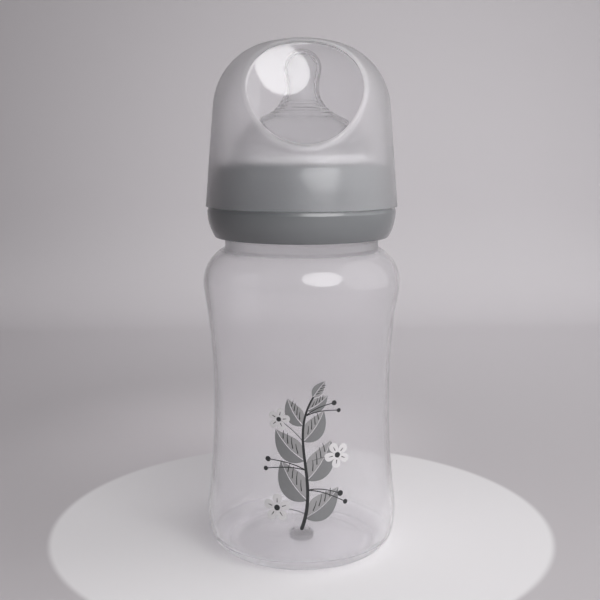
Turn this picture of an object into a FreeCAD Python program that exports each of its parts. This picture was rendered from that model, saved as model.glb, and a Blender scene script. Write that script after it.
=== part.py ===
import FreeCAD, Part
import math
import os

import Sketcher

# A wide-neck feeding bottle: vessel, silicone teat, screw collar and hood.
# Millimetres, +Z up. The origin is the middle of the standing face, and the dish in the hood faces -Y.

SIZES = {
    # vessel, as radii about the axis and heights above the table
    "base_radius": 33.3,
    "base_height": 13.0,
    "base_arc": 24.0,
    "base_corner": 8.7,
    "stand_width": 1.6,
    "punt_height": 2.6,
    "waist_draw": 2.75,
    "waist_height": 55.5,
    "shoulder_flare": 0.4,
    "shoulder_height": 94.0,
    "shoulder_arc": 13.1,
    "wall": 1.3,
    "gate_radius": 4.2,
    "gate_lift": 0.6,
    "gate_sink": 0.4,
    # neck of the vessel, with heights above the shoulder
    "neck_radius": 25.4,
    "neck_wall": 1.8,
    "neck_rise": 36.0,
    "bead_proud": 0.8,
    "bead_rise": 14.7,
    "bead_round": 0.7,
    "mouth_round": 0.5,
    # screw thread shared by neck and collar
    "thread_pitch": 4.5,
    "thread_depth": 1.6,
    "thread_root": 2.4,
    "thread_crest": 1.0,
    "thread_sink": 0.4,
    "thread_turns": 1.5,
    "thread_lift": 6.8,
    "thread_gap": 0.5,
    "thread_play": 0.15,
    # screw collar, as walls outside its bore
    "collar_gap": 0.7,
    "foot_wall": 1.95,
    "foot_round": 1.0,
    "collar_skirt": 10.5,
    "bevel_height": 1.5,
    "bevel_width": 0.5,
    "bevel_round": 0.5,
    "ledge_width": 0.6,
    "sleeve_wall": 2.25,
    "sleeve_fit": 5.0,
    "sleeve_bend": 28.0,
    "sleeve_round": 1.1,
    "collar_plate": 2.0,
    "plate_reach": 4.5,
    # silicone teat, with rises above the top of the collar
    "flange_lip": 1.0,
    "flange_thickness": 2.0,
    "teat_wall": 1.7,
    "teat_gap": 0.3,
    "teat_bead_proud": 1.4,
    "teat_bead_height": 2.6,
    "teat_bead_round": 0.7,
    "teat_skirt_proud": 0.2,
    "teat_skirt_round": 2.0,
    "dome_radius": 29.3,
    "dome_rise": 18.4,
    "stem_draw": 0.8,
    "stem_rise": 25.0,
    "tip_radius": 6.6,
    "tip_rise": 37.8,
    "feed_hole": 0.8,
    "vent_hole": 1.0,
    "vent_rise": 4.6,
    # hood, fitted round the collar's sleeve and over the teat's tip
    "hood_draft": 4.8,
    "hood_headroom": 2.2,
    "hood_corner": 23.0,
    "hood_crown": 48.0,
    "hood_wall": 1.3,
    "hood_gap": 0.3,
    "dish_radius": 37.0,
    "dish_floor": 13.3,
    "dish_drop": 3.3,
    "dish_rim_round": 2.0,
}


class Size:
    """A length that carries its number and the sheet formula that gives it."""

    def __init__(self, number, formula=None):
        self.number = float(number)
        self.formula = formula or repr(float(number))

    def _with(self, other, sign, work):
        other = other if isinstance(other, Size) else Size(other)
        return Size(work(self.number, other.number), "(%s %s %s)" % (self.formula, sign, other.formula))

    def __add__(self, other):
        return self._with(other, "+", lambda a, b: a + b)

    def __sub__(self, other):
        return self._with(other, "-", lambda a, b: a - b)

    def __mul__(self, other):
        return self._with(other, "*", lambda a, b: a * b)

    def __truediv__(self, other):
        return self._with(other, "/", lambda a, b: a / b)

    def root(self):
        return Size(math.sqrt(self.number), "sqrt(%s)" % self.formula)

    def slope(self):
        return Size(math.tan(math.radians(self.number)), "tan(%s)" % self.formula)


doc = FreeCAD.newDocument("feeding_bottle")
sheet = doc.addObject("Spreadsheet::Sheet", "sizes")
for row, (alias, number) in enumerate(SIZES.items(), start=1):
    sheet.set("A%d" % row, alias)
    sheet.set("B%d" % row, str(number))
    sheet.setAlias("B%d" % row, alias)
doc.recompute()


def size(alias):
    return Size(SIZES[alias], "sizes." + alias)


ZERO = Size(0)
# A sketch numbers the points of a line or arc from 1, and its own level and upright axes from -1 down.
START, END, CENTRE = range(1, 4)
LEVEL, AXIS = range(-1, -3, -1)

# Heights and radii that several pieces share.
waist_radius = size("base_radius") - size("waist_draw")
shoulder_radius = size("base_radius") + size("shoulder_flare")
mouth = size("shoulder_height") + size("neck_rise")
flange_top = mouth + size("flange_thickness")
collar_top = flange_top + size("collar_plate")
bead_top = size("shoulder_height") + size("bead_rise")
collar_foot = bead_top + size("collar_gap")
ledge = collar_foot + size("collar_skirt")
hood_slope = size("hood_draft").slope()
bore_radius = size("neck_radius") + size("thread_depth") + size("thread_gap")
opening_radius = bore_radius - size("plate_reach")
sleeve_high = bore_radius + size("sleeve_wall")
sleeve_low = sleeve_high + (collar_top - ledge) * hood_slope
hood_radius = sleeve_low + size("hood_gap") + size("hood_wall")
tip_top = collar_top + size("tip_rise")
hood_top = tip_top + size("hood_headroom") + size("hood_wall")
dish_out = size("dish_floor") + size("dish_radius")
dish_height = hood_top - size("dish_drop")
skirt_radius = opening_radius + size("teat_skirt_proud")
stem_radius = size("tip_radius") - size("stem_draw")


def origin_feature(body, role):
    return next(item for item in body.Origin.OriginFeatures if item.Role == role)


def new_body(label):
    body = doc.addObject("PartDesign::Body", label)
    body.Label = label
    return body


def bind(item, path, length):
    item.setExpression(path, length.formula)


class Outline:
    """A sketch in an upright plane of a body: across is the radius, up is the height."""

    def __init__(self, body, name, plane="XZ_Plane"):
        self.sketch = body.newObject("Sketcher::SketchObject", name)
        self.sketch.AttachmentSupport = (origin_feature(body, plane), [""])
        self.sketch.MapMode = "FlatFace"

    def line(self, start, end):
        ends = [FreeCAD.Vector(across, up, 0) for across, up in (start, end)]
        return self.sketch.addGeometry(Part.LineSegment(*ends), False)

    def arc(self, centre, radius, first, last):
        circle = Part.Circle(FreeCAD.Vector(centre[0], centre[1], 0), FreeCAD.Vector(0, 0, 1), radius)
        return self.sketch.addGeometry(Part.ArcOfCircle(circle, first, last), False)

    def tie(self, kind, *where):
        self.sketch.addConstraint(Sketcher.Constraint(kind, *where))

    def fix(self, kind, length, *where):
        index = self.sketch.addConstraint(Sketcher.Constraint(kind, *where, length.number))
        self.sketch.setExpression("Constraints[%d]" % index, length.formula)

    def place(self, item, point, across=None, up=None):
        """Holds a point of an item at a distance from the axis and at a height."""
        if across is not None and across.number == 0:
            self.tie("PointOnObject", item, point, AXIS)
        elif across is not None:
            self.fix("DistanceX", across, LEVEL, START, item, point)
        if up is not None and up.number == 0:
            self.tie("PointOnObject", item, point, LEVEL)
        elif up is not None:
            self.fix("DistanceY", up, LEVEL, START, item, point)

    def polygon(self, corners):
        """Closes straight sides through corners given as (across, up) lengths."""
        points = [(across.number, up.number) for across, up in corners]
        sides = [self.line(points[i], points[(i + 1) % len(points)]) for i in range(len(points))]
        for i, side in enumerate(sides):
            self.tie("Coincident", side, END, sides[(i + 1) % len(sides)], START)
            self.place(side, START, *corners[i])
        return sides

    def chain(self, corners):
        """Adds straight sides through corners given as (across, up) lengths, and leaves the ends open."""
        points = [(across.number, up.number) for across, up in corners]
        sides = [self.line(first, second) for first, second in zip(points, points[1:])]
        for side, corner in zip(sides, corners):
            self.place(side, START, *corner)
        for first, second in zip(sides, sides[1:]):
            self.tie("Coincident", first, END, second, START)
        self.place(sides[-1], END, *corners[-1])
        return sides

    def circle(self, across, up, radius):
        """A round hole at a place in the plane."""
        middle = FreeCAD.Vector(across.number, up.number, 0)
        ring = self.sketch.addGeometry(Part.Circle(middle, FreeCAD.Vector(0, 0, 1), radius.number), False)
        self.place(ring, CENTRE, across, up)
        self.fix("Radius", radius, ring)


def revolve(body, outline, name, kind="PartDesign::Revolution"):
    turned = body.newObject(kind, name)
    turned.Profile = outline.sketch
    turned.ReferenceAxis = (outline.sketch, ["V_Axis"])
    turned.Angle = 360.0
    doc.recompute()
    return turned


def cut_out(body, outline, name):
    """Turns an outline about the axis and takes it away, and makes sure that something went."""
    before = body.Shape.Volume
    groove = revolve(body, outline, name, "PartDesign::Groove")
    if body.Shape.Volume >= before:
        raise ValueError(name + " took nothing away")
    return groove


def drill(body, outline, name, depth, from_front):
    """A blind or through hole, cut along the normal of the outline's plane."""
    before = body.Shape.Volume
    hole = body.newObject("PartDesign::Pocket", name)
    hole.Profile = outline.sketch
    hole.Reversed = from_front
    bind(hole, "Length", depth)
    doc.recompute()
    if body.Shape.Volume >= before:
        raise ValueError(name + " took nothing away")
    return hole


def round_edges(body, name, radius, chosen):
    """Rounds the edges of the finished body that a test picks."""
    base = body.Tip
    names = ["Edge%d" % (i + 1) for i, edge in enumerate(base.Shape.Edges) if chosen(edge)]
    if not names:
        raise ValueError(name + " found no edge")
    fillet = body.newObject("PartDesign::Fillet", name)
    fillet.Base = (base, names)
    bind(fillet, "Radius", radius)
    doc.recompute()
    return fillet


def ring_at(across, up):
    """Tells whether an edge is the full circle of that radius at that height."""

    def chosen(edge):
        if edge.Degenerated or not isinstance(edge.Curve, Part.Circle):
            return False
        curve = edge.Curve
        return abs(curve.Radius - across.number) < 1e-4 and abs(curve.Center.z - up.number) < 1e-4

    return chosen


def waisted(convex_low, waist, convex_high):
    """Radii of the two hollow arcs that leave a waist upright and meet round arcs below and above it.

    A round arc is (centre across, centre up, radius), the waist is (across, up).
    """
    radii = []
    for across, up, radius in (convex_low, convex_high):
        run = waist[0] - across
        rise = waist[1] - up
        radii.append((run * run + rise * rise - radius * radius) / (2 * (radius - run)))
    return radii


def add_waist(outline, low_arc, waist, high_arc, numbers, inset):
    """Adds the two hollow arcs between a round arc below and a round arc above, and ties them."""
    low, high = numbers
    low_radius, high_radius = waisted(low, (waist[0].number, waist[1].number), high)
    across = waist[0].number
    up = waist[1].number
    lean_low = math.atan2(up - low[1], across + low_radius - low[0])
    lean_high = math.atan2(high[1] - up, across + high_radius - high[0])
    depth = inset.number
    lower = outline.arc((across + low_radius, up), low_radius + depth, math.pi, math.pi + lean_low)
    upper = outline.arc((across + high_radius, up), high_radius + depth, math.pi - lean_high, math.pi)
    outline.tie("Tangent", low_arc, END, lower, END)
    outline.place(lower, START, waist[0] - inset, waist[1])
    outline.tie("Horizontal", lower, START, lower, CENTRE)
    outline.tie("Coincident", lower, START, upper, END)
    outline.tie("Horizontal", upper, END, upper, CENTRE)
    outline.tie("Tangent", upper, START, high_arc, START)


def vessel_outline(body, name, inset, neck_inset, top):
    """The vessel's section from the standing ring to the mouth, moved inwards by an inset."""
    outline = Outline(body, name)
    side = (size("base_radius") - size("base_arc"), size("base_height"))
    reach = size("base_arc") - size("base_corner")
    climb = size("base_height") - size("base_corner")
    corner = (side[0] + (reach * reach - climb * climb).root(), size("base_corner"))
    land = corner[0] - size("stand_width")
    punt = size("punt_height")
    punt_arc = (land * land + punt * punt) / (punt * 2)
    shoulder = (shoulder_radius - size("shoulder_arc"), size("shoulder_height"))
    waist = (waist_radius, size("waist_height"))
    neck = size("neck_radius") - neck_inset
    depth = inset.number

    low = (side[0].number, side[1].number, size("base_arc").number)
    high = (shoulder[0].number, shoulder[1].number, size("shoulder_arc").number)
    low_radius, high_radius = waisted(low, (waist[0].number, waist[1].number), high)
    corner_turn = math.atan2(-climb.number, corner[0].number - side[0].number)
    low_turn = math.atan2(waist[1].number - low[1], waist[0].number + low_radius - low[0])
    high_turn = math.atan2(waist[1].number - high[1], waist[0].number + high_radius - high[0])
    neck_turn = math.acos((neck.number - high[0]) / (high[2] - depth))
    neck_start = high[1] + (high[2] - depth) * math.sin(neck_turn)

    floor_radius = punt_arc + inset
    floor_centre = (0, (punt - punt_arc).number)
    land_end = math.sqrt(floor_radius.number ** 2 - (depth - floor_centre[1]) ** 2)
    floor_turn = math.acos(land_end / floor_radius.number)
    floor = outline.arc(floor_centre, floor_radius.number, floor_turn, math.pi / 2)
    stand = outline.line((land_end, depth), (corner[0].number, depth))
    foot_centre = (corner[0].number, corner[1].number)
    foot = outline.arc(foot_centre, corner[1].number - depth, -math.pi / 2, corner_turn)
    flank = outline.arc(low[:2], low[2] - depth, corner_turn, low_turn)
    crest = outline.arc(high[:2], high[2] - depth, high_turn, neck_turn)
    throat = outline.line((neck.number, neck_start), (neck.number, top.number))
    lid = outline.line((neck.number, top.number), (0, top.number))
    spine = outline.line((0, top.number), (0, punt.number + depth))

    outline.place(floor, CENTRE, ZERO)
    outline.place(floor, END, ZERO, punt + inset)
    outline.fix("Radius", floor_radius, floor)
    outline.tie("Coincident", floor, START, stand, START)
    outline.tie("Horizontal", stand)
    outline.place(stand, START, None, inset)
    outline.tie("Tangent", stand, END, foot, START)
    outline.fix("Radius", corner[1] - inset, foot)
    outline.tie("Tangent", foot, END, flank, START)
    outline.fix("Radius", size("base_arc") - inset, flank)
    outline.place(flank, CENTRE, *side)
    add_waist(outline, flank, waist, crest, (low, high), inset)
    outline.fix("Radius", size("shoulder_arc") - inset, crest)
    outline.place(crest, CENTRE, *shoulder)
    outline.tie("Coincident", crest, END, throat, START)
    outline.tie("Vertical", throat)
    outline.place(throat, END, neck, top)
    outline.tie("Coincident", throat, END, lid, START)
    outline.tie("Horizontal", lid)
    outline.place(lid, END, ZERO)
    outline.tie("Coincident", lid, END, spine, START)
    outline.tie("Coincident", spine, END, floor, END)
    return outline


def add_thread(body, name, inner, outer, root_side, start, turns):
    """A right-hand rib with sloping flanks, from its root at one radius to its crest at the other."""
    outline = Outline(body, name + "_section")
    wide = size("thread_root") / 2
    narrow = size("thread_crest") / 2
    halves = (wide, narrow) if root_side == "inner" else (narrow, wide)
    outline.polygon([
        (inner, start - halves[0]),
        (outer, start - halves[1]),
        (outer, start + halves[1]),
        (inner, start + halves[0]),
    ])
    before = body.Shape.Volume
    helix = body.newObject("PartDesign::AdditiveHelix", name)
    helix.Profile = outline.sketch
    helix.ReferenceAxis = (outline.sketch, ["V_Axis"])
    helix.Mode = "pitch-turns-angle"
    bind(helix, "Pitch", size("thread_pitch"))
    bind(helix, "Turns", turns)
    helix.LeftHanded = False
    doc.recompute()
    if body.Shape.Volume <= before:
        raise ValueError(name + " added nothing")


# The rib on the neck and the rib in the collar lie one under the other with a little play.
neck_thread_start = bead_top + size("thread_lift")
rib_spacing = (size("thread_root") + size("thread_crest")) / 2 + size("thread_play")
collar_thread_start = neck_thread_start - rib_spacing


def make_vessel():
    """The blow-moulded vessel: waisted wall, domed-in base, neck bead, thread and rounded mouth."""
    body = new_body("bottle_body")
    revolve(body, vessel_outline(body, "vessel_outside", ZERO, ZERO, mouth), "vessel_solid")
    inside = vessel_outline(body, "vessel_inside", size("wall"), size("neck_wall"), mouth + 1)
    cut_out(body, inside, "vessel_hollow")

    bead = Outline(body, "neck_bead_section")
    bead_radius = size("neck_radius") + size("bead_proud")
    bead_inner = size("neck_radius") - size("neck_wall") / 2
    # The bead's foot stays inside the wall of the shoulder.
    bead_start = bead_top - size("bead_round") * 4
    bead.polygon([
        (bead_inner, bead_start),
        (bead_radius, bead_start),
        (bead_radius, bead_top),
        (bead_inner, bead_top),
    ])
    revolve(body, bead, "neck_bead")
    round_edges(body, "neck_bead_edge", size("bead_round"), ring_at(bead_radius, bead_top))

    sunk = size("neck_radius") - size("thread_sink")
    crest = size("neck_radius") + size("thread_depth")
    add_thread(body, "neck_thread", sunk, crest, "inner", neck_thread_start, size("thread_turns"))
    round_edges(body, "mouth_outer_edge", size("mouth_round"), ring_at(size("neck_radius"), mouth))
    bore = size("neck_radius") - size("neck_wall")
    round_edges(body, "mouth_inner_edge", size("mouth_round"), ring_at(bore, mouth))

    # The moulding gate leaves a pad under the base, which stays clear of the table.
    gate_top = size("punt_height") + size("gate_sink")
    gate = Outline(body, "gate_section")
    gate.polygon([
        (ZERO, size("gate_lift")),
        (size("gate_radius"), size("gate_lift")),
        (size("gate_radius"), gate_top),
        (ZERO, gate_top),
    ])
    revolve(body, gate, "gate_pad")
    return body


def make_collar():
    """The screw ring: rounded skirt, ledge for the hood, sleeve, top plate and inside thread."""
    body = new_body("collar")
    foot_radius = bore_radius + size("foot_wall")
    ledge_radius = sleeve_low + size("ledge_width")
    brim = (ledge_radius + size("bevel_width"), ledge - size("bevel_height"))
    fit_end = (sleeve_low - size("sleeve_fit") * hood_slope, ledge + size("sleeve_fit"))
    section = Outline(body, "collar_section")
    outside = section.chain([brim, (ledge_radius, ledge), (sleeve_low, ledge), fit_end])
    inside = section.chain([
        (opening_radius, collar_top),
        (opening_radius, flange_top),
        (bore_radius, flange_top),
        (bore_radius, collar_foot),
        (foot_radius, collar_foot),
    ])
    # The sleeve is drafted where the hood fits it, and bends in above that to the top plate.
    draft = math.radians(SIZES["hood_draft"])
    curve = SIZES["sleeve_bend"]
    centre = (fit_end[0].number - curve * math.cos(draft), fit_end[1].number - curve * math.sin(draft))
    lean = math.asin((collar_top.number - centre[1]) / curve)
    plate_radius = Size(centre[0] + curve * math.cos(lean))
    sleeve = section.arc(centre, curve, draft, lean)
    plate = section.line((plate_radius.number, collar_top.number), (opening_radius.number, collar_top.number))
    section.tie("Tangent", outside[-1], END, sleeve, START)
    section.fix("Radius", size("sleeve_bend"), sleeve)
    section.place(sleeve, END, None, collar_top)
    section.tie("Coincident", sleeve, END, plate, START)
    section.tie("Coincident", plate, END, inside[0], START)
    # The skirt leaves the brim upright and bends in to the foot.
    drop = (brim[1] - collar_foot).number
    draw = (brim[0] - foot_radius).number
    bend = (drop ** 2 + draw ** 2) / (2 * draw)
    skirt = section.arc((brim[0].number - bend, brim[1].number), bend, -math.asin(drop / bend), 0)
    section.tie("Coincident", skirt, START, inside[-1], END)
    section.tie("Coincident", skirt, END, outside[0], START)
    section.place(skirt, CENTRE, None, brim[1])
    revolve(body, section, "collar_ring")
    round_edges(body, "foot_edge", size("foot_round"), ring_at(foot_radius, collar_foot))
    round_edges(body, "brim_edge", size("bevel_round"), ring_at(*brim))
    round_edges(body, "sleeve_edge", size("sleeve_round"), ring_at(plate_radius, collar_top))
    crest = size("neck_radius") + size("thread_gap")
    sunk = bore_radius + size("thread_sink")
    turns = size("thread_turns") - 0.25
    add_thread(body, "collar_thread", crest, sunk, "outer", collar_thread_start, turns)
    return body


def teat_outline(body, name, inset):
    """The teat's section above its skirt: dome, slender stem and round tip, moved inwards by an inset."""
    outline = Outline(body, name)
    dome_centre = collar_top + size("dome_rise") - size("dome_radius")
    tip_centre = tip_top - size("tip_radius")
    waist = (stem_radius, collar_top + size("stem_rise"))
    skirt = skirt_radius - inset
    foot = mouth
    low = (0.0, dome_centre.number, size("dome_radius").number)
    high = (0.0, tip_centre.number, size("tip_radius").number)
    depth = inset.number
    low_radius, high_radius = waisted(low, (waist[0].number, waist[1].number), high)
    low_turn = math.atan2(waist[1].number - low[1], waist[0].number + low_radius)
    high_turn = math.atan2(waist[1].number - high[1], waist[0].number + high_radius)
    skirt_turn = math.acos(skirt.number / (low[2] - depth))
    skirt_top = low[1] + (low[2] - depth) * math.sin(skirt_turn)

    base = outline.line((0, foot.number), (skirt.number, foot.number))
    side = outline.line((skirt.number, foot.number), (skirt.number, skirt_top))
    dome = outline.arc(low[:2], low[2] - depth, skirt_turn, low_turn)
    tip = outline.arc(high[:2], high[2] - depth, high_turn, math.pi / 2)
    spine = outline.line((0, high[1] + high[2] - depth), (0, foot.number))

    outline.place(base, START, ZERO, foot)
    outline.tie("Horizontal", base)
    outline.tie("Coincident", base, END, side, START)
    outline.place(side, START, skirt)
    outline.tie("Vertical", side)
    outline.tie("Coincident", side, END, dome, START)
    outline.place(dome, CENTRE, ZERO, dome_centre)
    outline.fix("Radius", size("dome_radius") - inset, dome)
    add_waist(outline, dome, waist, tip, (low, high), inset)
    outline.place(tip, CENTRE, ZERO, tip_centre)
    outline.fix("Radius", size("tip_radius") - inset, tip)
    outline.place(tip, END, ZERO)
    outline.tie("Coincident", tip, END, spine, START)
    outline.tie("Coincident", spine, END, base, START)
    return outline, skirt_top


def make_teat():
    """The silicone teat: clamped flange, groove and bead for the collar's plate, dome, stem and tip."""
    body = new_body("teat")
    outside, skirt_top = teat_outline(body, "teat_outside", ZERO)
    revolve(body, outside, "teat_solid")
    round_edges(body, "skirt_edge", size("teat_skirt_round"), ring_at(skirt_radius, Size(skirt_top)))

    groove_radius = opening_radius - size("teat_gap")
    flange_radius = size("neck_radius") + size("flange_lip")
    bead_radius = opening_radius + size("teat_bead_proud")
    bead_low = collar_top + size("teat_gap")
    bead_high = bead_low + size("teat_bead_height")
    hold = skirt_radius - size("teat_wall")
    flange = Outline(body, "flange_section")
    flange.polygon([
        (hold, mouth),
        (flange_radius, mouth),
        (flange_radius, flange_top),
        (hold, flange_top),
    ])
    revolve(body, flange, "flange")
    groove = Outline(body, "groove_section")
    groove.polygon([
        (groove_radius, flange_top),
        (flange_radius, flange_top),
        (flange_radius, bead_low),
        (groove_radius, bead_low),
    ])
    cut_out(body, groove, "plate_groove")
    bead = Outline(body, "bead_section")
    bead.polygon([
        (hold, bead_low),
        (bead_radius, bead_low),
        (bead_radius, bead_high),
        (hold, bead_high),
    ])
    revolve(body, bead, "teat_bead")
    round_edges(body, "bead_edge", size("teat_bead_round"), ring_at(bead_radius, bead_high))

    inside, _ = teat_outline(body, "teat_inside", size("teat_wall"))
    cut_out(body, inside, "teat_hollow")
    feed = Outline(body, "feed_section", "XY_Plane")
    feed.circle(ZERO, ZERO, size("feed_hole") / 2)
    drill(body, feed, "feed_hole", tip_top, True)
    vent = Outline(body, "vent_section")
    vent.circle(ZERO, collar_top + size("vent_rise"), size("vent_hole") / 2)
    drill(body, vent, "vent_hole", skirt_radius, False)
    return body


def hood_outline(body, name, inset):
    """The hood's section: drafted side, rounded corner and shallow crown, moved inwards by an inset."""
    outline = Outline(body, name)
    draft = math.radians(SIZES["hood_draft"])
    depth = inset.number
    top = hood_top - inset
    crown_radius = size("hood_crown") - inset
    corner_radius = size("hood_corner") - inset
    foot = hood_radius - inset * Size(1 / math.cos(draft), "(1 / cos(sizes.hood_draft))")
    # The corner's centre lies one corner radius inside the side and under the crown.
    crown_centre = top.number - crown_radius.number
    start = (foot.number - corner_radius.number / math.cos(draft), ledge.number)
    reach = crown_radius.number - corner_radius.number
    along = (-math.sin(draft), math.cos(draft))
    off = (start[0], start[1] - crown_centre)
    middle = off[0] * along[0] + off[1] * along[1]
    travel = -middle + math.sqrt(middle ** 2 - (off[0] ** 2 + off[1] ** 2 - reach ** 2))
    corner = (start[0] + travel * along[0], start[1] + travel * along[1])
    crown_turn = math.atan2(corner[1] - crown_centre, corner[0])
    lean_out = (corner_radius.number * math.cos(draft), corner_radius.number * math.sin(draft))
    side_end = (corner[0] + lean_out[0], corner[1] + lean_out[1])

    base = outline.line((0, ledge.number), (foot.number, ledge.number))
    side = outline.line((foot.number, ledge.number), side_end)
    bend = outline.arc(corner, corner_radius.number, draft, crown_turn)
    crown = outline.arc((0, crown_centre), crown_radius.number, crown_turn, math.pi / 2)
    spine = outline.line((0, top.number), (0, ledge.number))

    outline.place(base, START, ZERO, ledge)
    outline.tie("Horizontal", base)
    outline.place(base, END, foot)
    outline.tie("Coincident", base, END, side, START)
    outline.tie("Tangent", side, END, bend, START)
    outline.fix("Radius", corner_radius, bend)
    outline.tie("Tangent", bend, END, crown, START)
    outline.fix("Radius", crown_radius, crown)
    outline.place(crown, CENTRE, ZERO)
    outline.place(crown, END, ZERO, top)
    outline.tie("Coincident", crown, END, spine, START)
    outline.tie("Coincident", spine, END, base, START)
    lean = outline.sketch.addConstraint(Sketcher.Constraint("Angle", side, math.pi / 2 + draft))
    outline.sketch.setExpression("Constraints[%d]" % lean, "90 deg + sizes.hood_draft * 1 deg")
    return outline


def press_dish(body, name, radius):
    """Takes the dish's ball out of the front of a hood shape."""
    before = body.Shape.Volume
    ball = body.newObject("PartDesign::SubtractiveSphere", name)
    ball.AttachmentSupport = (origin_feature(body, "XY_Plane"), [""])
    ball.MapMode = "FlatFace"
    bind(ball, "Radius", radius)
    bind(ball, "AttachmentOffset.Base.y", ZERO - dish_out)
    bind(ball, "AttachmentOffset.Base.z", dish_height)
    doc.recompute()
    if body.Shape.Volume >= before:
        raise ValueError(name + " took nothing away")


def make_hood():
    """The translucent hood: an even wall that follows the dish on the inside too."""
    outside = new_body("hood_outside")
    revolve(outside, hood_outline(outside, "hood_outer_section", ZERO), "hood_solid")
    press_dish(outside, "dish", size("dish_radius"))
    middle = FreeCAD.Vector(0, -dish_out.number, dish_height.number)

    def on_rim(edge):
        if edge.Degenerated:
            return False
        points = [edge.valueAt(mark) for mark in edge.ParameterRange]
        points.append(edge.valueAt(sum(edge.ParameterRange) / 2))
        return all(abs(point.distanceToPoint(middle) - SIZES["dish_radius"]) < 1e-3 for point in points)

    round_edges(outside, "dish_rim", size("dish_rim_round"), on_rim)
    inside = new_body("hood_inside")
    revolve(inside, hood_outline(inside, "hood_inner_section", size("hood_wall")), "hood_space")
    press_dish(inside, "dish_back", size("dish_radius") + size("hood_wall"))
    hood = doc.addObject("Part::Cut", "dome_cap")
    hood.Label = "dome_cap"
    hood.Base = outside
    hood.Tool = inside
    doc.recompute()
    return hood


def write_parts(pieces):
    """Checks the whole document, then writes one file for each piece."""
    doc.recompute()
    for item in doc.Objects:
        if "Invalid" in item.State or "Error" in item.State:
            raise ValueError(item.Label + " failed")
    for piece in pieces:
        shape = piece.Shape
        if shape.isNull() or not shape.isValid() or len(shape.Solids) != 1:
            raise ValueError(piece.Label + " is not one valid solid")
    os.makedirs("parts", exist_ok=True)
    for piece in pieces:
        piece.Shape.exportStep(os.path.join("parts", piece.Label + ".step"))
        box = piece.Shape.optimalBoundingBox()
        print(piece.Label, "volume %.0f" % piece.Shape.Volume, "z %.2f to %.2f" % (box.ZMin, box.ZMax))


write_parts([make_vessel(), make_teat(), make_collar(), make_hood()])
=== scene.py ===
import math

import bmesh
import bpy
from mathutils import Euler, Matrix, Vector
from mathutils.bvhtree import BVHTree
from mathutils.geometry import delaunay_2d_cdt


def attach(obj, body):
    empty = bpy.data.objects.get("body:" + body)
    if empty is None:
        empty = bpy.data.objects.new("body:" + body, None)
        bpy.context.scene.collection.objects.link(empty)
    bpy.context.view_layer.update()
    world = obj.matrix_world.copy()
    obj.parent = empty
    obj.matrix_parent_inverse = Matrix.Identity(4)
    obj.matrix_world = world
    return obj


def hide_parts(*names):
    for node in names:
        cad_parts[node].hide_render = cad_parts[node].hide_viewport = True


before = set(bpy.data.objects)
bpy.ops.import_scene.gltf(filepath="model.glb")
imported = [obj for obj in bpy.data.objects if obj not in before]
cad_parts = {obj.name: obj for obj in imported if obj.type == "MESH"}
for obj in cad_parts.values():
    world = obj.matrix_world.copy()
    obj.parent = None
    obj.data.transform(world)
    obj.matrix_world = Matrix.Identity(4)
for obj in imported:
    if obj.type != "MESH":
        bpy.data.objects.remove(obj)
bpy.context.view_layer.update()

MM = 0.001


# Materials

class Wire:
    """A shader socket that takes part in sums as a number does."""

    def __init__(self, finish, socket):
        self.finish = finish
        self.socket = socket

    def _math(self, operation, *values):
        return self.finish.node("Math", {"operation": operation}, dict(enumerate(values)))

    def __add__(self, other):
        return self._math("ADD", self, other)

    __radd__ = __add__

    def __sub__(self, other):
        return self._math("SUBTRACT", self, other)

    def __rsub__(self, other):
        return self._math("SUBTRACT", other, self)

    def __mul__(self, other):
        return self._math("MULTIPLY", self, other)

    __rmul__ = __mul__

    def root(self):
        return self._math("SQRT", self)

    def most(self, other):
        return self._math("MAXIMUM", self, other)

    def rise(self, low, high):
        """0 below low, 1 above high, smooth between; falls instead where low is the larger."""
        settings = {"interpolation_type": "SMOOTHSTEP"}
        if low < high:
            return self.finish.node("MapRange", settings, {"Value": self, "From Min": low, "From Max": high})
        return 1 - self.rise(high, low)


# a mix node's sockets for colours
MIX_FIRST, MIX_SECOND, MIX_COLOUR = 6, 7, 2


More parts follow.
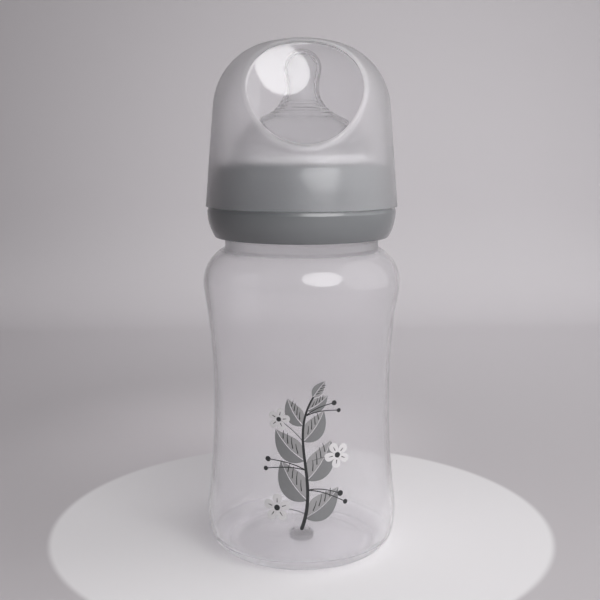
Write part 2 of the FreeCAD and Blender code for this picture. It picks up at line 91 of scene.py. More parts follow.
class Finish:
    """A material or a world, with one way to add a node of any kind."""

    def __init__(self, name, kinds=None):
        self.material = (bpy.data.materials if kinds is None else kinds).new(name)
        self.material.use_nodes = True
        self.tree = self.material.node_tree
        self.tree.nodes.clear()

    def node(self, kind, settings=None, sockets=None, out=0):
        """Adds a node, sets it, fills or links its sockets and returns one of its outputs."""
        node = self.tree.nodes.new("ShaderNode" + kind)
        for name, value in (settings or {}).items():
            setattr(node, name, value)
        for name, value in (sockets or {}).items():
            if isinstance(value, Wire):
                self.tree.links.new(value.socket, node.inputs[name])
            else:
                node.inputs[name].default_value = value
        return None if out is None else Wire(self, node.outputs[out])

    def place(self):
        """Where the shaded point is, in the piece's own frame, in metres."""
        return self.node("TexCoord", out="Object")

    def parts_of(self, vector):
        """The X, Y and Z of a vector, each as a number."""
        split = self.node("SeparateXYZ", sockets={"Vector": vector})
        return [Wire(self, split.socket.node.outputs[i]) for i in range(3)]

    def from_axis(self):
        """Distance of the shaded point from the bottle's axis, and its height."""
        across, along, up = self.parts_of(self.place())
        return (across * across + along * along).root(), up

    def height(self):
        """Height of the shaded point above the table."""
        return self.parts_of(self.place())[2]

    def far_from(self, point):
        """Distance of the shaded point from a fixed point."""
        return self.node("VectorMath", {"operation": "DISTANCE"}, {0: self.place(), 1: point}, "Value")

    def grain(self, size, detail=2.0):
        """Even noise from 0 to 1 whose blots are about that many metres across."""
        sockets = {"Vector": self.place(), "Scale": 1 / size, "Detail": detail, "Roughness": 0.5}
        return self.node("TexNoise", sockets=sockets, out="Fac")

    def tint(self, share, low, high):
        """A colour that goes from low to high with a share."""
        colours = [colour if isinstance(colour, Wire) else (*colour, 1) for colour in (low, high)]
        sockets = {0: share, MIX_FIRST: colours[0], MIX_SECOND: colours[1]}
        return self.node("Mix", {"data_type": "RGBA"}, sockets, MIX_COLOUR)

    def bump(self, height, depth):
        """A normal that follows a height from 0 to 1, that many metres deep."""
        return self.node("Bump", sockets={"Height": height, "Distance": depth, "Strength": 1})

    def milky(self, clear, share, colour):
        """Spreads a share of the light that goes through a clear wall all ways."""
        spread = self.node("BsdfTranslucent", sockets={"Color": (*colour, 1)})
        return self.node("MixShader", sockets={0: share, 1: clear, 2: spread})

    def chalky(self, clear, share, colour):
        """Covers a share of a clear wall with a matt colour."""
        matt = self.node("BsdfDiffuse", sockets={"Color": (*colour, 1)})
        return self.node("MixShader", sockets={0: share, 1: clear, 2: matt})

    def lamp_through(self, clear, film):
        """Lets lamp light through a clear wall, dimmed by the film's colour."""
        lamp = self.node("LightPath", out="Is Shadow Ray")
        film = self.node("BsdfTransparent", sockets={"Color": (*film, 1)})
        return self.node("MixShader", sockets={0: lamp, 1: clear, 2: film})

    def show(self, surface, kind="OutputMaterial"):
        """Makes a surface the material's, or the world's, result."""
        self.node(kind, sockets={"Surface": surface}, out=None)
        return self.material


# the pad that the moulding gate left under the base fades in between these radii and heights
GATE_ACROSS = (5.0 * MM, 3.4 * MM)
GATE_UP = (3.0 * MM, 2.7 * MM)
# the rounded foot and the neck are thicker than the wall, and start between these radii and heights
FOOT_ACROSS = (24 * MM, 27 * MM)
FOOT_UP = (9 * MM, 4 * MM)
NECK_UP = (103.5 * MM, 105.5 * MM)
WALL_CLEAR = (0.99, 0.985, 0.995)
WALL_MILK = (0.95, 0.945, 0.96)
WALL_FILM = (0.69, 0.686, 0.695)
# dark grey of the gate's pad: partly the pad's own, partly painted shade under the base
GATE_GREY_AND_SHADE = (0.25, 0.245, 0.25)


def clear_wall():
    """Blown polypropylene: clear but faintly milky, and rough and dark grey at the gate's pad, partly its own
    grey and partly painted shade under the base.
    """
    finish = Finish("clear_wall")
    off_axis, up = finish.from_axis()
    gate = off_axis.rise(*GATE_ACROSS) * up.rise(*GATE_UP)
    thick = (off_axis.rise(*FOOT_ACROSS) * up.rise(*FOOT_UP)).most(up.rise(*NECK_UP))
    haze = finish.grain(9 * MM)
    scuff = finish.grain(0.7 * MM, detail=4)
    waves = finish.grain(16 * MM, detail=1) + gate * finish.grain(0.35 * MM)
    clear = finish.node("BsdfPrincipled", sockets={
        "Base Color": finish.tint(gate, WALL_CLEAR, GATE_GREY_AND_SHADE),
        "Roughness": 0.075 + haze * 0.03 + scuff * 0.02 + gate * 0.45 + thick * 0.2,
        "IOR": 1.25,
        "Transmission Weight": 0.975,
        "Coat Weight": 0.38,
        "Coat Roughness": 0.07,
        "Normal": finish.bump(waves, 0.05 * MM),
    })
    cloudy = finish.milky(clear, 0.06 + thick * 0.14, WALL_MILK)
    return finish.show(finish.lamp_through(cloudy, WALL_FILM))


# the hood's own sizes: the dish's ball, the ring that its corner bends round, and its drafted side
DISH_CENTRE = (0, -50.3 * MM, 172 * MM)
DISH_RADIUS = 37 * MM
HOOD_WALL = 1.3 * MM
CORNER_OUT = 6.81 * MM
CORNER_UP = 151.36 * MM
CORNER_RADIUS = 23 * MM
CORNER_BLEND = (0.8 * MM, 3 * MM)
HOOD_FOOT = (32.64 * MM, 118.6 * MM)
HOOD_SLOPE = math.tan(math.radians(4.8))
# how far a polished face may lie from the dish's ball, and how deep in the wall the dish's back starts
POLISH_SLACK = 0.2 * MM
BACK_DEPTH = (0.4 * HOOD_WALL, 0.6 * HOOD_WALL)
# the pale rim round the dish, partly a whiter frost and partly a painted highlight of the lamp on its rounded
# edge, fades in between these widths and depths in the wall
RIM_WIDTH = (2.2 * MM, 1.6 * MM)
RIM_DEPTH = (0.6 * MM, 0.3 * MM)
HOOD_CLEAR = ((0.985, 0.98, 0.99), (0.995, 0.99, 1.0))
HOOD_MILK = (0.96, 0.95, 0.97)
HOOD_FILM = (0.36, 0.358, 0.362)
# white of the rim: partly a whiter frost, partly a painted highlight
RIM_HIGHLIGHT_WHITE = (0.9, 0.89, 0.91)


def frosted_hood():
    """Translucent hood: blasted all over but for the polished dish, whose back is polished too."""
    finish = Finish("frosted_hood")
    off_axis, up = finish.from_axis()
    aside = off_axis - CORNER_OUT
    above = up - CORNER_UP
    corner_depth = CORNER_RADIUS - (aside * aside + above * above).root()
    side_depth = HOOD_FOOT[0] - (up - HOOD_FOOT[1]) * HOOD_SLOPE - off_axis
    upper = above.rise(*CORNER_BLEND)
    depth = upper * corner_depth + (1 - upper) * side_depth

    reach = finish.far_from(DISH_CENTRE)
    front = reach.rise(DISH_RADIUS + POLISH_SLACK, DISH_RADIUS + POLISH_SLACK / 2)
    back_at = DISH_RADIUS + HOOD_WALL
    past_near = reach.rise(back_at - POLISH_SLACK, back_at - POLISH_SLACK / 2)
    short_of_far = reach.rise(back_at + POLISH_SLACK, back_at + POLISH_SLACK / 2)
    polished = front + past_near * short_of_far * depth.rise(*BACK_DEPTH)
    frosted = 1 - polished
    near_dish = reach.rise(DISH_RADIUS + RIM_WIDTH[0], DISH_RADIUS + RIM_WIDTH[1])
    rim = (1 - front) * near_dish * depth.rise(*RIM_DEPTH)

    blast = finish.grain(0.22 * MM, detail=3)
    cloud = finish.grain(14 * MM)
    clear = finish.node("BsdfPrincipled", sockets={
        "Base Color": finish.tint(cloud, *HOOD_CLEAR),
        "Roughness": frosted * (0.285 + blast * 0.04 + cloud * 0.02) + polished * 0.07,
        "IOR": 1.34,
        "Transmission Weight": 0.965,
        "Coat Weight": polished * 0.45,
        "Coat Roughness": 0.04,
        "Normal": finish.bump(blast * frosted, 0.02 * MM),
    })
    cloudy = finish.milky(clear, frosted * 0.035, HOOD_MILK)
    # the rim is painted white: partly a whiter frost, partly a painted highlight of the lamp on its rounded
    # edge
    rim_highlighted = finish.chalky(cloudy, rim * 0.2, RIM_HIGHLIGHT_WHITE)
    return finish.show(finish.lamp_through(rim_highlighted, HOOD_FILM))


# the teat is thick at its bead and its flange, which end between these heights
TEAT_THICK_UP = (137.5 * MM, 136.5 * MM)
SILICONE_CLEAR = ((0.97, 0.97, 0.975), (0.99, 0.99, 0.995))
SILICONE_MILK = (0.96, 0.96, 0.965)
# white painted on the bead and the flange: a painted highlight, which also lightens the shade where the bead
# sits on the collar
SILICONE_HIGHLIGHT_WHITE = (0.9, 0.89, 0.9)
SILICONE_FILM = (0.93, 0.93, 0.935)


def soft_silicone():
    """Clear liquid silicone with a faint bloom; the bead and the flange are painted white as a painted
    highlight.
    """
    finish = Finish("soft_silicone")
    thick = finish.height().rise(*TEAT_THICK_UP)
    bloom = finish.grain(6 * MM, detail=3)
    clear = finish.node("BsdfPrincipled", sockets={
        "Base Color": finish.tint(bloom, *SILICONE_CLEAR),
        "Roughness": 0.1 + bloom * 0.08,
        "IOR": 1.22,
        "Transmission Weight": 1.0,
        "Normal": finish.bump(finish.grain(3 * MM), 0.02 * MM),
    })
    cloudy = finish.milky(clear, 0.05 + thick * 0.2, SILICONE_MILK)
    # painted highlight: the bead and the flange are painted white
    bead_highlight = finish.chalky(cloudy, thick * 0.5, SILICONE_HIGHLIGHT_WHITE)
    return finish.show(finish.lamp_through(bead_highlight, SILICONE_FILM))


COLLAR_GREY = ((0.15, 0.159, 0.165), (0.17, 0.178, 0.184))


def collar_plastic():
    """Grey satin moulding with a fine spark-eroded skin."""
    finish = Finish("collar_plastic")
    skin = finish.grain(0.28 * MM, detail=3)
    cloud = finish.grain(12 * MM)
    satin = finish.node("BsdfPrincipled", sockets={
        "Base Color": finish.tint(cloud, *COLLAR_GREY),
        "Roughness": 0.36 + skin * 0.1,
        "IOR": 1.5,
        "Coat Weight": 0.8,
        "Coat Roughness": 0.16,
        "Normal": finish.bump(skin, 0.015 * MM),
    })
    return finish.show(satin)


def print_ink(name, darkest, lightest):
    """Screen ink: a flat colour with the mottle of a squeegee and a soft sheen."""
    finish = Finish(name)
    mottle = finish.grain(1.1 * MM, detail=4)
    ink = finish.node("BsdfPrincipled", sockets={
        "Base Color": finish.tint(mottle, darkest, lightest),
        "Roughness": 0.42 + mottle * 0.16,
        "IOR": 1.45,
        "Normal": finish.bump(finish.grain(0.3 * MM), 0.008 * MM),
    })
    return finish.show(ink)


# Meshes

def add_piece(name, mesh, material, body):
    """Adds a mesh as a piece that rides on a body."""
    piece = bpy.data.objects.new(name, mesh)
    bpy.context.scene.collection.objects.link(piece)
    mesh.materials.append(material)
    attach(piece, body)
    return piece


def arc_points(centre, radius, first, last, count):
    """Points (across, up) on an arc, ends included, with angles in radians."""
    turns = [first + (last - first) * i / count for i in range(count + 1)]
    return [(centre[0] + radius * math.cos(turn), centre[1] + radius * math.sin(turn)) for turn in turns]


def turned_mesh(name, section, steps):
    """Turns a closed section of (across, up) millimetres about the axis."""
    rings = len(section)
    verts = []
    for step in range(steps):
        turn = 2 * math.pi * step / steps
        verts += [(r * MM * math.cos(turn), r * MM * math.sin(turn), z * MM) for r, z in section]
    faces = []
    for step in range(steps):
        here = step * rings
        there = (step + 1) % steps * rings
        for i in range(rings):
            j = (i + 1) % rings
            faces.append((here + i, there + i, there + j, here + j))
    mesh = bpy.data.meshes.new(name)
    mesh.from_pydata(verts, [], faces)
    mesh.validate()
    return mesh


def open_round(work, spot, radius):
    """Puts the rim of a hole along Y in place of the vertex at a spot, and returns the rim."""
    middle = min(work.verts, key=lambda vert: (vert.co - spot).length)
    centre = middle.co.copy()
    around = {}
    for face in middle.link_faces:
        for vert in face.verts:
            if vert != middle:
                around[math.atan2(vert.co.z - centre.z, vert.co.x - centre.x)] = vert
    turns = sorted(around)
    ring = [around[turn] for turn in turns]
    ways = [Vector((math.cos(turn), 0, math.sin(turn))) for turn in turns]
    rim = [work.verts.new(centre + radius * way) for way in ways]
    bmesh.ops.delete(work, geom=[middle], context="VERTS")
    for i in range(len(ring)):
        work.faces.new((ring[i - 1], ring[i], rim[i], rim[i - 1]))
    return rim


def pierce(mesh, spots, radius):
    """Bores a hole along Y through a wall, from a vertex on one face of it to a vertex on the other."""
    work = bmesh.new()
    work.from_mesh(mesh)
    outer, inner = [open_round(work, spot, radius) for spot in spots]
    for i in range(len(outer)):
        work.faces.new((outer[i - 1], outer[i], inner[i], inner[i - 1]))
    bmesh.ops.recalc_face_normals(work, faces=work.faces)
    work.to_mesh(mesh)
    work.free()


# Teat, in millimetres from the axis and from the table

MOUTH_UP = 130
TEAT_WALL = 1.7
TEAT_FOOT = 23.2
TEAT_BORE = TEAT_FOOT - TEAT_WALL
FLANGE_RADIUS = 26.4
FLANGE_TOP = 132
FLANGE_BEVEL = 0.3
GROOVE_RADIUS = 22.7
BEAD_RADIUS = 24.4
BEAD_LOW, BEAD_HIGH = 134.3, 136.9
BEAD_LOW_ROUND, BEAD_HIGH_ROUND = 0.5, 0.7
# rounding between the foot and the dome: radius, height of its centre and where it runs, in radians
FOOT_ROUND = 1.5
FOOT_ROUND_UP = 139.0
FOOT_ROUND_TURNS = (0.3, 0.75)
# centre and radius of the dome and of the tip, and the distance from the axis within which the dome shows
TEAT_DOME = ((0, 123.1), 29.3)
TEAT_TIP = ((0, 165.2), 6.6)
DOME_SHOWN = 22.6
FEED_HOLE = 0.4
# the stem: its waist, and the fine rings at its foot
STEM_WAIST = (5.8, 159.0)
STEM_RINGS = (150.7, 151.9, 153.1, 154.3)
STEM_RING_WIDTH = 0.28
STEM_RING_RISE = 0.3
# vent through the back of the foot: its height, its radius and the faces round it
VENT_UP = 138.6
VENT_RADIUS = 0.5
VENT_PATCH = 0.9
# steps along each arc of the section, from the bead to the tip, and round the axis
BEAD_LOW_STEPS, BEAD_HIGH_STEPS, FOOT_STEPS = 4, 8, 5
DOME_STEPS, LOW_STEM_STEPS, HIGH_STEM_STEPS, TIP_STEPS = 28, 110, 14, 26
ROUND_STEPS = 144
SHARP_TURN = math.radians(50)


def hollow_arc(convex, waist):
    """Centre and radius of the hollow arc that is upright at a waist and meets a round arc."""
    (across, up), radius = convex
    run = waist[0] - across
    rise = waist[1] - up
    hollow = (run * run + rise * rise - radius * radius) / (2 * (radius - run))
    return (waist[0] + hollow, waist[1]), hollow


def teat_side(inset):
    """Points up the outside of the teat, or up its inside where the inset is the wall."""
    low = hollow_arc(TEAT_DOME, STEM_WAIST)
    high = hollow_arc(TEAT_TIP, STEM_WAIST)
    lean_low = math.atan2(low[0][1] - TEAT_DOME[0][1], low[0][0])
    lean_high = math.atan2(high[0][1] - TEAT_TIP[0][1], high[0][0])
    dome = TEAT_DOME[1] - inset
    tip = TEAT_TIP[1] - inset
    start = math.acos((TEAT_FOOT - inset) / dome)
    hole = math.acos(FEED_HOLE / tip)
    points = arc_points(TEAT_DOME[0], dome, start, lean_low, DOME_STEPS)
    points += arc_points(low[0], low[1] + inset, math.pi + lean_low, math.pi, LOW_STEM_STEPS)[1:]
    points += arc_points(high[0], high[1] + inset, math.pi, math.pi + lean_high, HIGH_STEM_STEPS)[1:]
    points += arc_points(TEAT_TIP[0], tip, lean_high, hole, TIP_STEPS)[1:]
    return points


def teat_section():
    """The whole closed section: flange, groove, bead and foot, the outside upwards and the inside down."""
    flange = [
        (TEAT_BORE, MOUTH_UP),
        (FLANGE_RADIUS - FLANGE_BEVEL, MOUTH_UP),
        (FLANGE_RADIUS, MOUTH_UP + FLANGE_BEVEL),
        (FLANGE_RADIUS, FLANGE_TOP - FLANGE_BEVEL),
        (FLANGE_RADIUS - FLANGE_BEVEL, FLANGE_TOP),
        (GROOVE_RADIUS, FLANGE_TOP),
    ]
    quarter = math.pi / 2
    low_centre = (BEAD_RADIUS - BEAD_LOW_ROUND, BEAD_LOW + BEAD_LOW_ROUND)
    high_centre = (BEAD_RADIUS - BEAD_HIGH_ROUND, BEAD_HIGH - BEAD_HIGH_ROUND)
    bead = [(GROOVE_RADIUS, BEAD_LOW)]
    bead += arc_points(low_centre, BEAD_LOW_ROUND, -quarter, 0, BEAD_LOW_STEPS)
    bead += arc_points(high_centre, BEAD_HIGH_ROUND, 0, quarter, BEAD_HIGH_STEPS)
    foot = [(TEAT_FOOT, BEAD_HIGH), (TEAT_FOOT, VENT_UP - VENT_PATCH), (TEAT_FOOT, VENT_UP)]
    foot_centre = (TEAT_FOOT - FOOT_ROUND, FOOT_ROUND_UP)
    foot += arc_points(foot_centre, FOOT_ROUND, *FOOT_ROUND_TURNS, FOOT_STEPS)
    outside = []
    for across, up in teat_side(0):
        swell = sum(math.exp(-((up - ring) / STEM_RING_WIDTH) ** 2) for ring in STEM_RINGS)
        if across < DOME_SHOWN:
            outside.append((across + STEM_RING_RISE * swell, up))
    bore = [(TEAT_BORE, VENT_UP + step) for step in (VENT_PATCH, 0, -VENT_PATCH)]
    return flange + bead + foot + outside + teat_side(TEAT_WALL)[::-1] + bore


def teat_mesh():
    """The turned teat with the vent bored through the back of its foot."""
    mesh = turned_mesh("teat_silicone", teat_section(), ROUND_STEPS)
    walls = [Vector((0, across * MM, VENT_UP * MM)) for across in (TEAT_FOOT, TEAT_BORE)]
    pierce(mesh, walls, VENT_RADIUS * MM)
    mesh.shade_smooth()
    mesh.set_sharp_from_angle(angle=SHARP_TURN)
    return mesh


# Print: a leafy sprig, drawn flat in millimetres right of the front's middle and up from the table

def bow(corners, count):
    """Even steps along a cubic curve given by its four points."""
    points = []
    for i in range(count + 1):
        t = i / count
        k = 1 - t
        weights = (k ** 3, 3 * k * k * t, 3 * k * t * t, t ** 3)
        points.append(tuple(sum(w * corner[j] for w, corner in zip(weights, corners)) for j in range(2)))
    return points


def heading(points, i):
    """Direction of a line of points at one of them, in radians."""
    first = points[max(i - 1, 0)]
    second = points[min(i + 1, len(points) - 1)]
    return math.atan2(second[1] - first[1], second[0] - first[0])


def beside(point, turn, along, aside):
    """A point moved along a direction and to the left of it."""
    across = point[0] + along * math.cos(turn) - aside * math.sin(turn)
    return across, point[1] + along * math.sin(turn) + aside * math.cos(turn)


ROUND_END_STEPS = 6
DOT_STEPS = 20


def stroke(points, first_width, last_width):
    """Outline of a brush line with round ends."""
    last = len(points) - 1
    left = []
    right = []
    for i, point in enumerate(points):
        half = (first_width + (last_width - first_width) * i / last) / 2
        left.append(beside(point, heading(points, i), 0, half))
        right.append(beside(point, heading(points, i), 0, -half))
    ends = []
    for point, turn, half in (
        (points[-1], heading(points, last) - math.pi / 2, last_width / 2),
        (points[0], heading(points, 0) + math.pi / 2, first_width / 2),
    ):
        steps = range(1, ROUND_END_STEPS)
        ends.append([beside(point, turn + math.pi * k / ROUND_END_STEPS, half, 0) for k in steps])
    return right + ends[0] + left[::-1] + ends[1]


def dot(point, radius):
    """Outline of a round dot."""
    return [beside(point, 2 * math.pi * k / DOT_STEPS, radius, 0) for k in range(DOT_STEPS)]


LEAF_STEPS = 18
# powers in a leaf's outline: one sets where it is widest, the other how full it is
LEAF_LEAN = 0.8
LEAF_FULLNESS = 0.95
# half the bare rib at the root, the share of it that is gone at the tip, and the least leaf beside it
RIB_GAP = 0.17
RIB_TAPER = 0.5
LEAF_LEAST = 0.02
# where veins start on the rib, and their bend and ends as shares of the leaf's half width (along, aside)
VEIN_STARTS = (0.25, 0.4, 0.55, 0.7)
VEIN_BEND = ((0.05, 0.22), (0.45, 0.51), (0.75, 0.8))
VEIN_WIDTHS = (0.34, 0.16)


def leaf_half_width(width, share):
    """Half the width of a leaf at a share of its length."""
    if not 0 < share < 1:
        return 0
    return width / 2 * math.sin(math.pi * share ** LEAF_LEAN) ** LEAF_FULLNESS


def leaf_rib(root, turn, length, bend):
    """Points of a leaf's bent middle rib, each with its direction."""
    rib = [(root, turn)]
    for i in range(LEAF_STEPS):
        here = turn + bend * (i + 0.5) / LEAF_STEPS
        rib.append((beside(rib[-1][0], here, length / LEAF_STEPS, 0), turn + bend * (i + 1) / LEAF_STEPS))
    return rib


def leaf_half(rib, width, side):
    """Outline of the half of a leaf on one side of its rib, with the rib left bare."""
    inner = []
    outer = []
    for i, (point, turn) in enumerate(rib):
        share = i / LEAF_STEPS
        gap = RIB_GAP * (1 - RIB_TAPER * share)
        inner.append(beside(point, turn, 0, side * gap))
        outer.append(beside(point, turn, 0, side * max(leaf_half_width(width, share), gap + LEAF_LEAST)))
    return inner + outer[::-1]


def leaf_veins(rib, width, side):
    """Short slanting veins on one half of a leaf."""
    veins = []
    for share in VEIN_STARTS:
        point, turn = rib[round(share * LEAF_STEPS)]
        half = leaf_half_width(width, share)
        line = [beside(point, turn, along * half, aside * side * half) for along, aside in VEIN_BEND]
        veins.append(stroke(line, *VEIN_WIDTHS))
    return veins


PETALS = 5
PETAL_STEPS = 22
# shares of a petal's reach: its half width, its middle, the points of its vein and the blossom's eye
PETAL_HALF = 0.4
PETAL_MIDDLE = 0.58
PETAL_VEIN = (0.4, 0.53, 0.66)
BLOSSOM_EYE = 0.21
# how much a petal narrows from its middle to its root
PETAL_TAPER = 0.18
PETAL_VEIN_WIDTHS = (0.3, 0.16)


def petal(middle, turn, reach):
    """Outline of a petal, narrower towards the middle of its blossom."""
    points = []
    for k in range(PETAL_STEPS):
        t = 2 * math.pi * k / PETAL_STEPS
        along = reach * (PETAL_MIDDLE + (1 - PETAL_MIDDLE) * math.cos(t))
        aside = reach * PETAL_HALF * math.sin(t) * (1 - PETAL_TAPER + PETAL_TAPER * math.cos(t))
        points.append(beside(middle, turn, along, aside))
    return points


STEM_STEPS = 40
STEM = bow([(-1.5, 17.6), (4.5, 33), (-6, 47), (2.2, 60.5)], STEM_STEPS)
STEM_WIDTHS = (1.2, 0.6)
LEAF_ANGLE = math.radians(52)
LEAF_BEND = 0.55
# where on the stem, which side (1 is left), length and width
LEAVES = [
    (0.07, -1, 14.6, 8.2),
    (0.20, 1, 15.8, 9.0),
    (0.36, -1, 15.2, 8.6),
    (0.50, 1, 14.0, 7.8),
    (0.64, -1, 12.2, 6.8),
    (0.78, 1, 10.4, 5.8),
    (0.90, -1, 8.2, 4.6),
]
# the leaf at the stem's end
TOP_LEAF_LENGTH = 6.6
TOP_LEAF_WIDTH = 3.6
TOP_LEAF_BEND = 0.25
# where on the stem, middle, reach of a petal and turn
BLOSSOMS = [
    (0.10, (-9.6, 24.0), 4.6, 0.3),
    (0.47, (10.4, 41.0), 4.4, 0.8),
    (0.66, (-8.9, 53.2), 3.7, 0.1),
]
# where on the stem, middle and radius
BERRIES = [
    (0.28, (11.4, 28.2), 0.95),
    (0.28, (13.2, 25.2), 0.8),
    (0.43, (-12.6, 39.8), 0.9),
    (0.43, (-13.4, 36.6), 0.75),
    (0.85, (9.2, 58.4), 0.85),
    (0.85, (10.8, 55.8), 0.7),
]
STALK_STEPS = 14
STALK_WIDTHS = (0.34, 0.28)
# where on its way a stalk bends down, and how high it arches
STALK_KNEE = 0.55
BLOSSOM_ARCH = 0.8
BERRY_ARCH = 1.2


def stalk(share, end, arch):
    """A thin arched stalk from the stem to a blossom or a berry."""
    root = STEM[round(share * STEM_STEPS)]
    knee = [root[j] * (1 - STALK_KNEE) + end[j] * STALK_KNEE for j in range(2)]
    knee[1] += arch
    ramp = ((root[0] + knee[0]) / 2, (root[1] + knee[1]) / 2 + arch / 2)
    return stroke(bow([root, ramp, knee, end], STALK_STEPS), *STALK_WIDTHS)


def sprig():
    """Outlines of the print by ink."""
    inks = {"charcoal": [stroke(STEM, *STEM_WIDTHS)], "grey": [], "pale_grey": [], "white": []}
    leaves = []
    for share, side, length, width in LEAVES:
        i = round(share * STEM_STEPS)
        turn = heading(STEM, i) + side * LEAF_ANGLE
        leaves.append((leaf_rib(STEM[i], turn, length, -side * LEAF_BEND), side, width))
    top_rib = leaf_rib(STEM[-1], heading(STEM, STEM_STEPS), TOP_LEAF_LENGTH, -TOP_LEAF_BEND)
    leaves.append((top_rib, 1, TOP_LEAF_WIDTH))
    for rib, side, width in leaves:
        inks["pale_grey"].append(leaf_half(rib, width, -side))
        inks["grey"].append(leaf_half(rib, width, side))
        inks["charcoal"] += leaf_veins(rib, width, -side)
    for share, middle, reach, turn in BLOSSOMS:
        inks["charcoal"].append(dot(middle, reach * BLOSSOM_EYE))
        inks["grey"].append(stalk(share, middle, BLOSSOM_ARCH))
        for k in range(PETALS):
            way = turn + 2 * math.pi * k / PETALS
            inks["white"].append(petal(middle, way, reach))
            vein = [beside(middle, way, reach * along, 0) for along in PETAL_VEIN]
            inks["charcoal"].append(stroke(vein, *PETAL_VEIN_WIDTHS))
    for share, middle, radius in BERRIES:
        inks["charcoal"] += [stalk(share, middle, BERRY_ARCH), dot(middle, radius)]
    return inks


def holds(outline, point):
    """True where a point lies in a closed outline."""
    held = False
    for (a, b), (c, d) in zip(outline, outline[1:] + outline[:1]):
        if (b > point[1]) != (d > point[1]) and point[0] < a + (point[1] - b) / (d - b) * (c - a):
            held = not held
    return held


def filling(outlines, step):
    """Evenly spaced points inside outlines, so that a fill can follow a curved wall."""
    points = []
    for outline in outlines:
        low = [min(point[j] for point in outline) for j in range(2)]
        high = [max(point[j] for point in outline) for j in range(2)]
        for i in range(math.floor(low[0] / step), math.ceil(high[0] / step) + 1):
            for j in range(math.floor(low[1] / step), math.ceil(high[1] / step) + 1):
                point = ((i + 0.5 * (j % 2)) * step, j * step)
                if holds(outline, point):
                    points.append(point)
    return sorted(set(points))


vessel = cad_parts["bottle_body"]
vessel_skin = BVHTree.FromPolygons(
    [vertex.co for vertex in vessel.data.vertices], [face.vertices for face in vessel.data.polygons]
)
# a distance from the axis that is well outside the vessel
OUTSIDE = 100 * MM
# spacing of the points that fill an outline, in millimetres
FILL_STEP = 1.1
# the fill keeps only faces inside outlines, and joins points nearer than this
FILL_KIND = 1
FILL_JOIN = 1e-5


def on_wall(point, lift):
    """A flat point of the print laid on the front of the vessel and lifted off it, in millimetres."""
    up = Vector((0, 0, point[1] * MM))
    front = vessel_skin.ray_cast(up + Vector((0, -OUTSIDE, 0)), Vector((0, 1, 0)))[0]
    turn = point[0] * MM / -front.y
    way = Vector((math.sin(turn), -math.cos(turn), 0))
    return vessel_skin.ray_cast(up + way * OUTSIDE, -way)[0] + way * lift * MM


def ink_mesh(name, outlines, low, high):
    """A closed film of ink over outlines, between two lifts off the wall."""
    flat = []
    loops = []
    for outline in outlines:
        loops.append(list(range(len(flat), len(flat) + len(outline))))
        flat += outline
    flat += filling(outlines, FILL_STEP)
    drawn = delaunay_2d_cdt([Vector(point) for point in flat], [], loops, FILL_KIND, FILL_JOIN)
    points, _, faces, _, _, owners = drawn
    faces = [face for face, owner in zip(faces, owners) if owner]
    count = len(points)
    verts = [on_wall(point, high) for point in points] + [on_wall(point, low) for point in points]
    edges = [(a, b) for face in faces for a, b in zip(face, face[1:] + face[:1])]
    paired = set(edges)
    solid = [tuple(face) for face in faces]
    solid += [tuple(count + i for i in reversed(face)) for face in faces]
    solid += [(b, a, count + a, count + b) for a, b in edges if (b, a) not in paired]
    mesh = bpy.data.meshes.new(name)
    mesh.from_pydata(verts, [], solid)
    mesh.validate()
    work = bmesh.new()
    work.from_mesh(mesh)
    loose = [vertex for vertex in work.verts if not vertex.link_faces]
    bmesh.ops.delete(work, geom=loose, context="VERTS")
    bmesh.ops.recalc_face_normals(work, faces=work.faces)
    work.to_mesh(mesh)
    work.free()
    return mesh


# lifts off the wall in millimetres, and the darkest and lightest of each ink
INKS = {
    "pale_grey": (-0.01, 0.03, (0.29, 0.285, 0.29), (0.33, 0.325, 0.33)),
    "grey": (-0.01, 0.03, (0.185, 0.187, 0.192), (0.215, 0.217, 0.222)),
    "white": (0.01, 0.05, (0.6, 0.585, 0.595), (0.66, 0.645, 0.655)),
    "charcoal": (0.02, 0.07, (0.02, 0.021, 0.023), (0.032, 0.033, 0.035)),
}


# Pieces

for ink, outlines in sprig().items():
    low, high, darkest, lightest = INKS[ink]
    name = "print_" + ink
    mesh = ink_mesh(name, outlines, low, high)
    add_piece(name, mesh, print_ink(name, darkest, lightest), "bottle")

teat = add_piece("teat_silicone", teat_mesh(), soft_silicone(), "teat")
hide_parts("teat")

CAD_FINISHES = {"bottle_body": clear_wall, "collar": collar_plastic, "dome_cap": frosted_hood}
for node, make_finish in CAD_FINISHES.items():
    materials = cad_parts[node].data.materials
    materials.clear()
    materials.append(make_finish())


# Stage: a pale floor with a whiter round in the middle, which sweeps up into a pale wall, with a painted pool
# of light behind the object and painted-out shadow close behind it

SWEEP_AT = 0.4
SWEEP_ROUND = 0.09
SWEEP_STEPS = 16
STAGE_WIDTH = 3.0
STAGE_HEIGHT = 2.0
# the floor's colour goes over into the wall's between these heights
SWEEP_BLEND = (0.07, 0.01)
# the whiter round's middle, and where its edge fades
ROUND_CENTRE = (0.7 * MM, 15.9 * MM, 0)
ROUND_EDGE = (93.6 * MM, 90.6 * MM)
# a painted pool of light far behind the object, and a paler patch close behind it that paints out the
# object's shadow: their middles, and where they fade in
GLOW_CENTRE = (0.1, SWEEP_AT + SWEEP_ROUND, 0.04)
GLOW_REACH = (0.5, 0.1)
SHADOW_LIFT_CENTRE = (-0.03, 0.135, 0)
SHADOW_LIFT_REACH = (0.125, 0.0)
# the wall's and the floor's colours, from outside to inside the painted pool of light
WALL_COLOURS = ((0.47, 0.45, 0.463), (0.76, 0.737, 0.755))
FLOOR_COLOURS = ((0.56, 0.535, 0.55), (0.78, 0.755, 0.775))
# paler colour that paints out the object's shadow on the floor close behind it
SHADOW_LIFT_COLOUR = (0.86, 0.825, 0.845)
ROUND_COLOUR = (0.84, 0.825, 0.835)


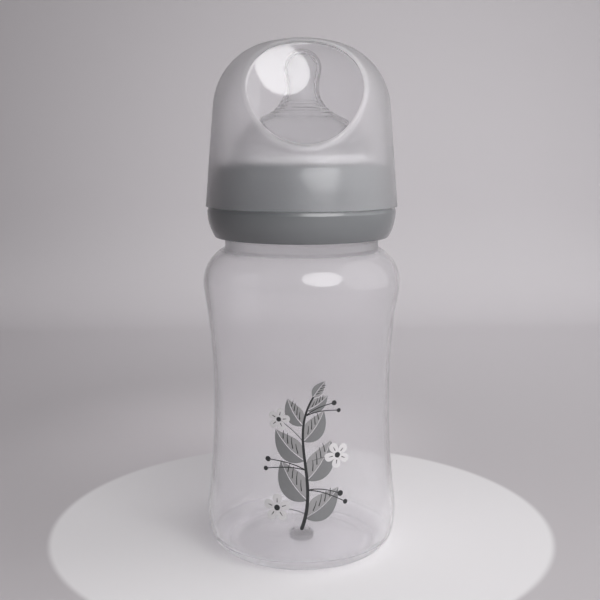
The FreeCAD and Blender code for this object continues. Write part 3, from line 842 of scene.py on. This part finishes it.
def stage_paint():
    """Matt paint of the stage, by place, with a painted pool of light behind the object and painted-out
    shadow close behind it.
    """
    finish = Finish("stage_paint")
    glow = finish.far_from(GLOW_CENTRE).rise(*GLOW_REACH)
    # painted light where the object's shadow falls on the floor behind it
    shadow_lift = finish.far_from(SHADOW_LIFT_CENTRE).rise(*SHADOW_LIFT_REACH)
    level = finish.height().rise(*SWEEP_BLEND)
    whiter_round = finish.far_from(ROUND_CENTRE).rise(*ROUND_EDGE)
    wall = finish.tint(glow, *WALL_COLOURS)
    floor = finish.tint(shadow_lift, finish.tint(glow, *FLOOR_COLOURS), SHADOW_LIFT_COLOUR)
    colour = finish.tint(whiter_round, finish.tint(level, wall, floor), ROUND_COLOUR)
    sockets = {"Base Color": colour, "Roughness": 1.0, "Specular IOR Level": 0.0}
    return finish.show(finish.node("BsdfPrincipled", sockets=sockets))


def stage_mesh():
    """A sheet that runs level, bends up behind the object and goes on upright."""
    side = [(-STAGE_WIDTH, 0)]
    side += arc_points((SWEEP_AT, SWEEP_ROUND), SWEEP_ROUND, -math.pi / 2, 0, SWEEP_STEPS)
    side += [(SWEEP_AT + SWEEP_ROUND, STAGE_HEIGHT)]
    verts = [(across, along, up) for along, up in side for across in (-STAGE_WIDTH, STAGE_WIDTH)]
    faces = [(2 * i, 2 * i + 1, 2 * i + 3, 2 * i + 2) for i in range(len(side) - 1)]
    mesh = bpy.data.meshes.new("stage")
    mesh.from_pydata(verts, [], faces)
    mesh.shade_smooth()
    mesh.materials.append(stage_paint())
    return mesh


stage = bpy.data.objects.new("stage", stage_mesh())
bpy.context.scene.collection.objects.link(stage)


# Light and camera

LAMP_AIM = Vector((0, 0, 0.1))


def soft_lamp(name, azimuth, elevation, distance, width, height, power):
    """A soft oval lamp: azimuth from the front towards the right, in degrees."""
    lamp = bpy.data.lights.new(name, "AREA")
    lamp.shape = "ELLIPSE"
    lamp.size = width
    lamp.size_y = height
    lamp.energy = power
    turn = math.radians(azimuth)
    tilt = math.radians(elevation)
    way = Vector((math.sin(turn) * math.cos(tilt), -math.cos(turn) * math.cos(tilt), math.sin(tilt)))
    holder = bpy.data.objects.new(name, lamp)
    holder.location = LAMP_AIM + way * distance
    holder.rotation_euler = (-way).to_track_quat("-Z", "Y").to_euler()
    bpy.context.scene.collection.objects.link(holder)


soft_lamp("key_lamp", azimuth=24, elevation=34, distance=0.6, width=0.48, height=0.45, power=2.65)
soft_lamp("side_lamp", azimuth=96, elevation=20, distance=1.0, width=1.9, height=1.6, power=5.2)

AIR_COLOUR = (0.98, 0.96, 0.98, 1)
# the way to the right, where the air goes from its left strength to its right one
AIR_TURN = (-0.3, 1.0)
# strengths on the left and the right: of its light, and where it is looked at
LIGHT_LEFT, LIGHT_RIGHT = 0.08, 1.0
SEEN_LEFT, SEEN_RIGHT = 0.45, 0.9
# the share of its light that a glossy wall does not mirror
GLOSS_LOSS = 0.4


def studio_air():
    """Dim air all round, shown paler where the eye or a clear wall looks at it."""
    finish = Finish("studio_air", bpy.data.worlds)
    way = finish.parts_of(finish.node("TexCoord", out="Generated"))
    right = way[0].rise(*AIR_TURN)
    kinds = ("Camera", "Transmission", "Glossy")
    camera_ray, through_ray, glossy_ray = [finish.node("LightPath", out="Is %s Ray" % kind) for kind in kinds]
    seen = camera_ray.most(through_ray)
    light = (LIGHT_LEFT + right * (LIGHT_RIGHT - LIGHT_LEFT)) * (1 - glossy_ray * GLOSS_LOSS)
    pale = SEEN_LEFT + right * (SEEN_RIGHT - SEEN_LEFT)
    sockets = {"Color": AIR_COLOUR, "Strength": light + seen * (pale - light)}
    return finish.show(finish.node("Background", sockets=sockets), "OutputWorld")


bpy.context.scene.world = studio_air()

CAMERA_AWAY = 0.3319
CAMERA_UP = 0.1406
CAMERA_SIDE = math.radians(-2.8)
CAMERA_DOWN = math.radians(9.13)
CAMERA_ASIDE = math.radians(0.095)
CAMERA_LENS = 58.26
CAMERA_SENSOR = 36
CAMERA_NEAREST = 0.01
camera_data = bpy.data.cameras.new("camera")
camera_data.sensor_width = CAMERA_SENSOR
camera_data.lens = CAMERA_LENS
camera_data.clip_start = CAMERA_NEAREST
camera = bpy.data.objects.new("camera", camera_data)
camera.location = (CAMERA_AWAY * math.sin(CAMERA_SIDE), -CAMERA_AWAY * math.cos(CAMERA_SIDE), CAMERA_UP)
camera.rotation_euler = Euler((math.pi / 2 - CAMERA_DOWN, 0, CAMERA_SIDE + CAMERA_ASIDE))
bpy.context.scene.collection.objects.link(camera)
bpy.context.scene.camera = camera
bpy.context.scene.view_settings.view_transform = "Standard"
